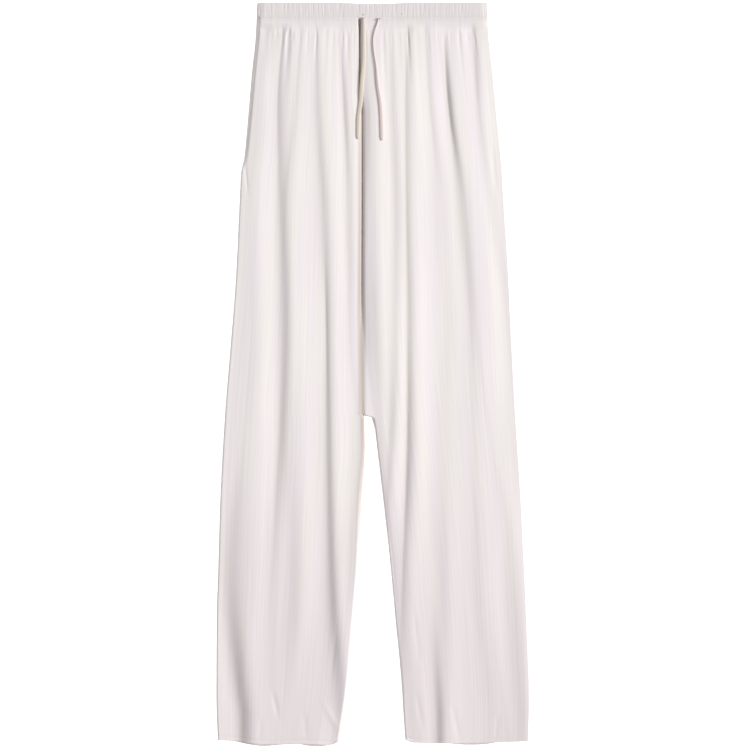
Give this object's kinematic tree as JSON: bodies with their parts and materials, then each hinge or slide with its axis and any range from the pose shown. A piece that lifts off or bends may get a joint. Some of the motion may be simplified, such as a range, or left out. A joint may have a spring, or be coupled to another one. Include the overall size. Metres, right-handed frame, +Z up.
{
  "type": "wide-leg drawstring trousers",
  "caption": "Ivory wide-leg trousers with a gathered elastic waist and a drawstring, laid flat on a surface with the front up.",
  "frame": {"origin": "centre of the laid-out garment's footprint, on the surface that its back rests on", "axes": "+Y from the hems to the waist, +Z up off the surface, +X from the wearer's right leg to the left one"},
  "size_m": [0.442, 1.05, 0.0142],
  "materials": {
    "front_cloth_right": "soft matte crepe with a faint sheen",
    "front_cloth_left": "soft matte crepe with a faint sheen",
    "back_cloth_right": "soft matte crepe with a faint sheen",
    "back_cloth_left": "soft matte crepe with a faint sheen",
    "waistband_front_cloth": "soft matte crepe with a faint sheen",
    "waistband_back_cloth": "soft matte crepe with a faint sheen",
    "drawstring_right_cloth": "soft matte crepe with a faint sheen",
    "drawstring_left_cloth": "soft matte crepe with a faint sheen"
  },
  "bodies": {
    "root": {"front_panel_right": "front_cloth_right", "front_panel_left": "front_cloth_left", "back_panel_right": "back_cloth_right", "back_panel_left": "back_cloth_left", "waistband_front": "waistband_front_cloth", "waistband_back": "waistband_back_cloth", "drawstring_right": "drawstring_right_cloth", "drawstring_left": "drawstring_left_cloth"}
  },
  "joints": []
}
